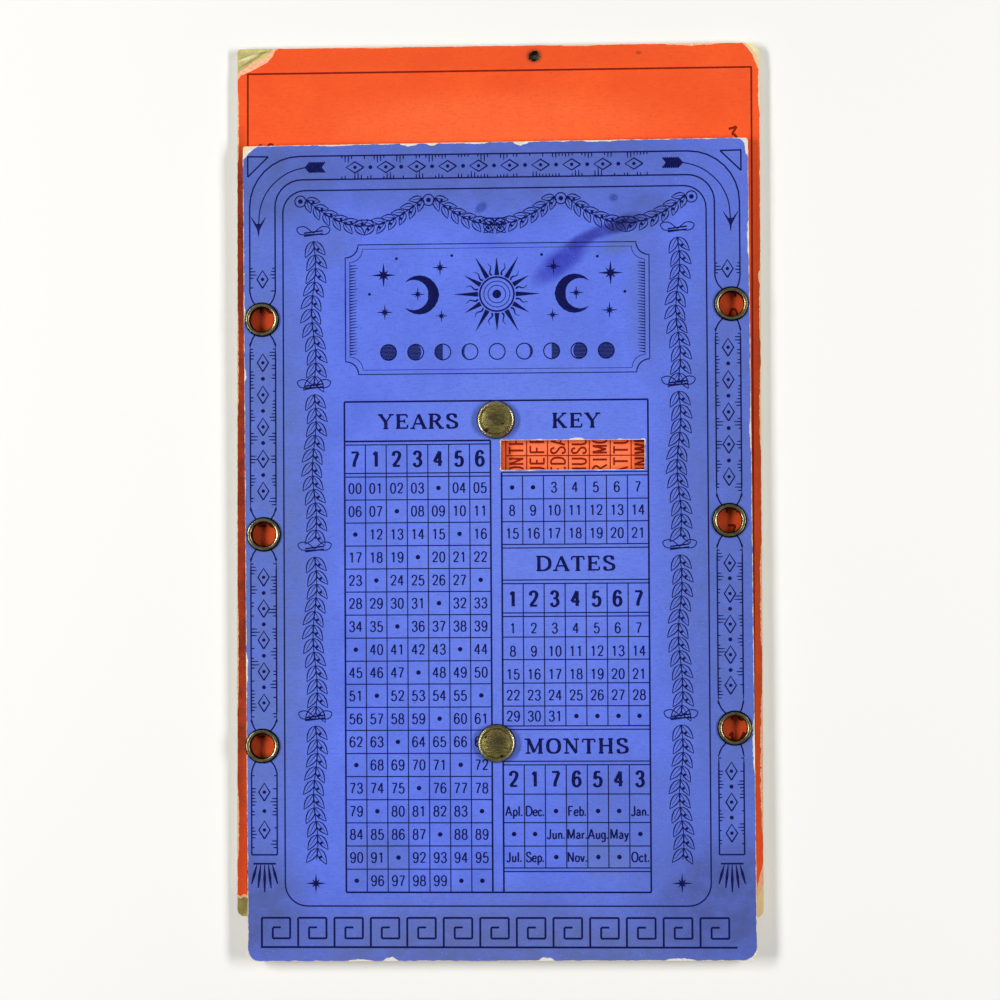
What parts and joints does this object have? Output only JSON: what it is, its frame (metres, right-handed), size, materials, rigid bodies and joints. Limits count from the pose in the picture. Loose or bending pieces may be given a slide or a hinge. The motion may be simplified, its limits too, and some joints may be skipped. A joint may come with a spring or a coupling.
{
  "type": "perpetual desk calendar",
  "caption": "Perpetual calendar of two printed pasteboard cards: a face card with a weekday window and eyelet sight holes slides on a slide card, held by brass paper fasteners in slots.",
  "frame": {"origin": "under the middle of the whole assembly at rest, level with the undersides of the fasteners' spread legs", "axes": "+X across the cards to the right of the print, +Y up the cards along the slots, towards the nail hole, +Z out of the printed face"},
  "size_m": [0.0888, 0.155, 0.0044],
  "materials": {
    "blue_printed_paper": "matte",
    "orange_printed_paper": "matte",
    "lining_paper": "matte",
    "pulp_board_cream": "matte",
    "pulp_board_olive": "matte",
    "eyelet_brass": "tarnished",
    "aged_brass": "dark patina",
    "strip_brass": "dull"
  },
  "bodies": {
    "slide_card": {"slide_card_board": "pulp_board_olive", "slide_card_front_sheet": "orange_printed_paper", "slide_card_back_sheet": "lining_paper"},
    "face_card": {"face_card_board": "pulp_board_cream", "face_card_print_sheet": "blue_printed_paper", "face_card_back_sheet": "lining_paper", "eyelet_left_top": "eyelet_brass", "eyelet_left_middle": "eyelet_brass", "eyelet_left_bottom": "eyelet_brass", "eyelet_right_top": "eyelet_brass", "eyelet_right_middle": "eyelet_brass", "eyelet_right_bottom": "eyelet_brass", "fastener_top_cap": "aged_brass", "fastener_top_prongs": "strip_brass", "fastener_bottom_cap": "aged_brass", "fastener_bottom_prongs": "strip_brass"}
  },
  "joints": [
    {"name": "face_card_slide", "type": "slide", "parent": "slide_card", "child": "face_card", "axis": [0, 1, 0], "range_m": [-0.00287, 0.02857]}
  ]
}
